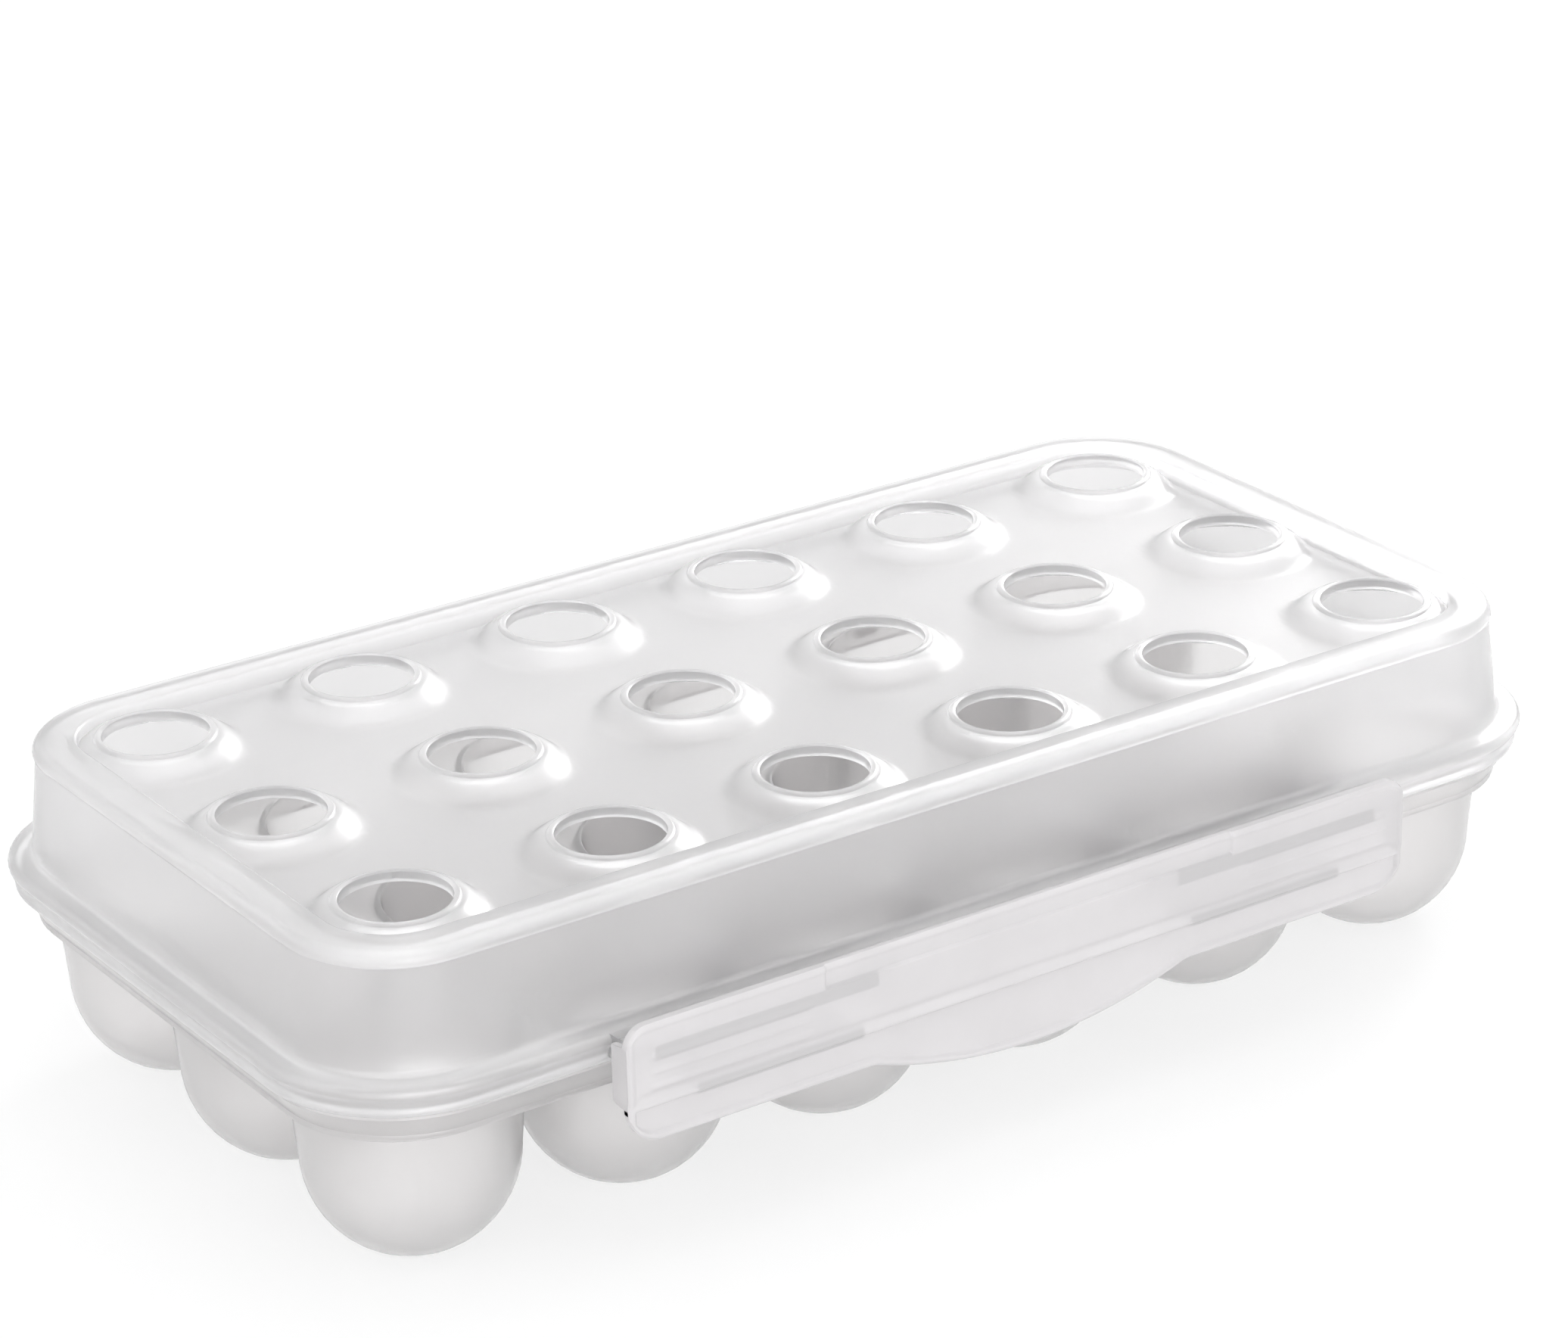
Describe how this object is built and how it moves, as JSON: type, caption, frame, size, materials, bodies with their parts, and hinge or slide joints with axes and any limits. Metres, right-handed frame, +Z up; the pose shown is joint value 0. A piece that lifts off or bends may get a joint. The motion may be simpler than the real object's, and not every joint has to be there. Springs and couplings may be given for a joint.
{
  "type": "egg keeper with flip lid",
  "caption": "Frosted plastic egg tray with rounded cups, a rear-hinged lid with a domed vent hole over each egg, and a long front latch.",
  "frame": {"origin": "bottom centre of the bounding box, on the plane of the cup feet", "axes": "+Z up, +X along the long side, the latch faces -Y and the lid hinge is at +Y"},
  "size_m": [0.316, 0.1818, 0.076],
  "materials": {
    "tray_plastic": "frosted translucent polypropylene",
    "lid_plastic": "frosted translucent polypropylene, glossier on the top border",
    "latch_plastic": "frosted translucent polypropylene, thicker and less clear"
  },
  "bodies": {
    "tray": {"cup_1_1": "tray_plastic", "cup_1_2": "tray_plastic", "cup_1_3": "tray_plastic", "cup_1_4": "tray_plastic", "cup_1_5": "tray_plastic", "cup_1_6": "tray_plastic", "cup_2_1": "tray_plastic", "cup_2_2": "tray_plastic", "cup_2_3": "tray_plastic", "cup_2_4": "tray_plastic", "cup_2_5": "tray_plastic", "cup_2_6": "tray_plastic", "cup_3_1": "tray_plastic", "cup_3_2": "tray_plastic", "cup_3_3": "tray_plastic", "cup_3_4": "tray_plastic", "cup_3_5": "tray_plastic", "cup_3_6": "tray_plastic", "tray_rim": "tray_plastic", "tray_catches": "tray_plastic", "hinge_ears_left": "tray_plastic", "hinge_ears_right": "tray_plastic"},
    "lid": {"lid_panel_1": "lid_plastic", "lid_panel_2": "lid_plastic", "lid_panel_3": "lid_plastic", "lid_panel_4": "lid_plastic", "lid_panel_5": "lid_plastic", "lid_panel_6": "lid_plastic", "lid_flange": "lid_plastic", "lid_wall": "lid_plastic", "lid_border": "lid_plastic", "lid_hinge_left": "lid_plastic", "lid_hinge_right": "lid_plastic", "latch_lugs_left": "lid_plastic", "latch_lugs_right": "lid_plastic"},
    "latch": {"latch_bar": "latch_plastic", "latch_barrel_left": "latch_plastic", "latch_barrel_right": "latch_plastic", "latch_hooks": "latch_plastic"}
  },
  "joints": [
    {"name": "lid_hinge", "type": "hinge", "parent": "tray", "child": "lid", "pos_m": [0, 0.08775, 0.043], "axis": [-1, 0, 0], "range_deg": [0, 180]},
    {"name": "latch_hinge", "type": "hinge", "parent": "lid", "child": "latch", "pos_m": [0, -0.08525, 0.0476], "axis": [-1, 0, 0], "range_deg": [0, 90]}
  ]
}
